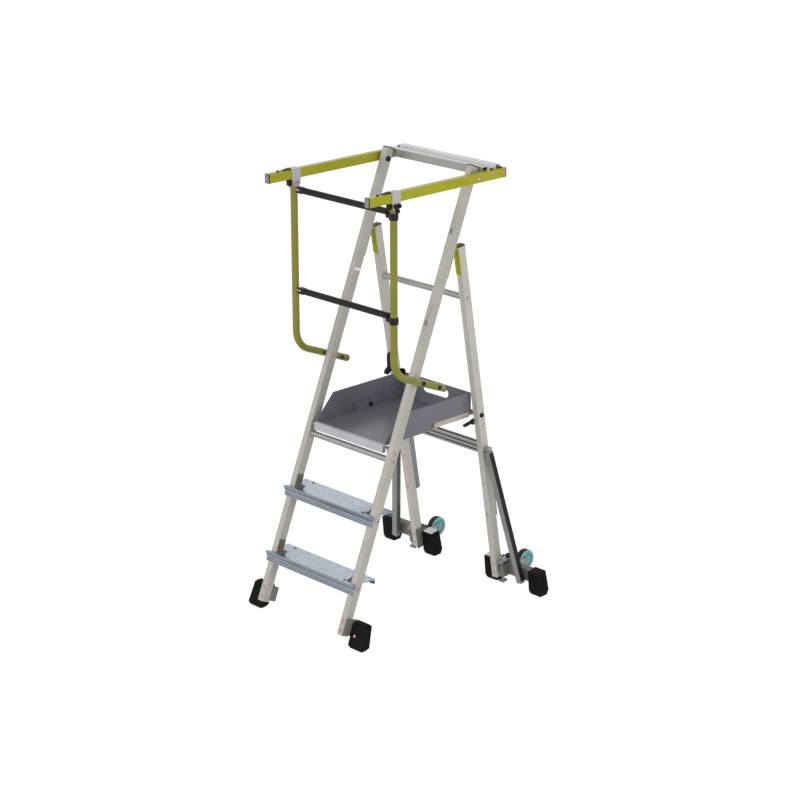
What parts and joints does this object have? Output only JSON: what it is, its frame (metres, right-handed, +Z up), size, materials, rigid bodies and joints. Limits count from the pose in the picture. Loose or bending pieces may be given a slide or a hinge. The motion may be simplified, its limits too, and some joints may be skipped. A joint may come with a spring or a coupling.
{
  "type": "folding rolling work platform ladder",
  "caption": "Folding rolling work platform with leaning stiles, treads, a deep tray platform, green guard rails, swinging gate bars, fold-out outriggers and rear wheels.",
  "frame": {"origin": "middle of the footprint, on the floor", "axes": "+Z up, +Y away from the climber towards the wheels, +X towards the climber's right"},
  "size_m": [0.898, 1.0481, 1.7585],
  "materials": {
    "frame_aluminium": "satin",
    "tread_metal": "satin",
    "tray_coat": "matte",
    "nose_aluminium": "satin",
    "crossbar_aluminium": "satin",
    "green_paint": "gloss",
    "black_plastic": "matte",
    "black_rubber": "matte",
    "zinc_steel": "satin",
    "bracket_metal": "matte",
    "clamp_aluminium": "satin",
    "bronze_bush": "satin",
    "link_steel": "satin",
    "wheel_plastic": "satin",
    "tyre_rubber": "matte"
  },
  "bodies": {
    "front_frame": {"stile_left": "frame_aluminium", "stile_right": "frame_aluminium", "end_caps": "black_plastic", "step_lower": "tread_metal", "step_upper": "tread_metal", "step_brackets": "bracket_metal", "step_fasteners": "zinc_steel", "platform_rung": "crossbar_aluminium", "stile_bolts": "zinc_steel", "top_crossbar": "crossbar_aluminium", "guard_rail_left": "green_paint", "guard_rail_right": "green_paint", "rail_pivots": "zinc_steel", "rear_guard_bar": "crossbar_aluminium", "side_tube_left": "green_paint", "side_tube_right": "green_paint", "side_tube_bolts": "zinc_steel", "rail_clamps": "clamp_aluminium", "clamp_fasteners": "black_plastic", "clamp_latches": "black_plastic", "gate_catches": "zinc_steel", "front_feet": "black_rubber", "front_foot_brackets": "bracket_metal", "hinge_leaves_front": "green_paint", "platform_pivots": "zinc_steel"},
    "rear_frame": {"rear_leg_left": "frame_aluminium", "rear_leg_right": "frame_aluminium", "rear_leg_caps": "black_plastic", "rear_tube": "crossbar_aluminium", "rear_crossbar": "crossbar_aluminium", "rear_leg_bolts": "zinc_steel", "leg_tracks": "bracket_metal", "hinge_leaves_rear": "green_paint", "stabiliser_bases": "bracket_metal", "outrigger_hinges": "zinc_steel", "inner_feet": "black_rubber", "wheel_forks": "zinc_steel", "storage_hook": "black_plastic", "link_rests": "black_plastic"},
    "platform": {"platform_tray": "tray_coat", "platform_nose": "nose_aluminium", "platform_ribs": "bracket_metal", "platform_bushes": "bronze_bush", "tray_catch": "black_plastic"},
    "links": {"link_left": "link_steel", "link_right": "link_steel"},
    "gate_upper": {"gate_bar_upper": "black_rubber"},
    "gate_lower": {"gate_bar_lower": "black_rubber"},
    "outrigger_left": {"outrigger_arm_left": "bracket_metal", "outer_foot_left": "black_rubber", "strut_left": "bracket_metal"},
    "outrigger_right": {"outrigger_arm_right": "bracket_metal", "outer_foot_right": "black_rubber", "strut_right": "bracket_metal"},
    "wheel_set_left": {"wheel_left": "wheel_plastic", "tyre_left": "tyre_rubber"},
    "wheel_set_right": {"wheel_right": "wheel_plastic", "tyre_right": "tyre_rubber"},
    "knob_left": {"lock_knob_left": "black_plastic"},
    "knob_right": {"lock_knob_right": "black_plastic"}
  },
  "joints": [
    {"name": "rear_frame_fold", "type": "hinge", "parent": "front_frame", "child": "rear_frame", "pos_m": [0, 0.0885, 1.447], "axis": [1, 0, 0], "range_deg": [-22, 0]},
    {"name": "platform_fold", "type": "hinge", "parent": "front_frame", "child": "platform", "pos_m": [0, -0.23967, 0.715], "axis": [1, 0, 0], "range_deg": [0, 48.6]},
    {"name": "link_fold", "type": "hinge", "parent": "rear_frame", "child": "links", "pos_m": [0, 0.23166, 0.752], "axis": [1, 0, 0], "range_deg": [-57.5, 0]},
    {"name": "gate_upper_swing", "type": "hinge", "parent": "front_frame", "child": "gate_upper", "pos_m": [0.27, -0.272, 1.655], "axis": [0, 0, 1], "range_deg": [0, 100]},
    {"name": "gate_lower_swing", "type": "hinge", "parent": "front_frame", "child": "gate_lower", "pos_m": [0.27, -0.272, 1.261], "axis": [0, 0, 1], "range_deg": [0, 100]},
    {"name": "outrigger_left_swing", "type": "hinge", "parent": "rear_frame", "child": "outrigger_left", "pos_m": [-0.26, 0.35553, -0.00033], "axis": [0, -0.165, 0.9863], "range_deg": [0, 90]},
    {"name": "outrigger_right_swing", "type": "hinge", "parent": "rear_frame", "child": "outrigger_right", "pos_m": [0.26, 0.35553, -0.00033], "axis": [0, -0.165, 0.9863], "range_deg": [-90, 0]},
    {"name": "wheel_left_spin", "type": "hinge", "parent": "rear_frame", "child": "wheel_set_left", "pos_m": [-0.252, 0.4821, 0.075], "axis": [1, 0, 0], "continuous": true},
    {"name": "wheel_right_spin", "type": "hinge", "parent": "rear_frame", "child": "wheel_set_right", "pos_m": [0.252, 0.4821, 0.075], "axis": [1, 0, 0], "continuous": true},
    {"name": "lock_knob_left_pull", "type": "slide", "parent": "rear_frame", "child": "knob_left", "axis": [0, -0.165, 0.9863], "range_m": [0, 0.01], "stiffness_N_per_m": 600},
    {"name": "lock_knob_right_pull", "type": "slide", "parent": "rear_frame", "child": "knob_right", "axis": [0, -0.165, 0.9863], "range_m": [0, 0.01], "stiffness_N_per_m": 600}
  ],
  "couplings": [
    {"joint": "platform_fold", "follows": "rear_frame_fold", "ratio": -2.205},
    {"joint": "link_fold", "follows": "rear_frame_fold", "ratio": 2.609}
  ]
}
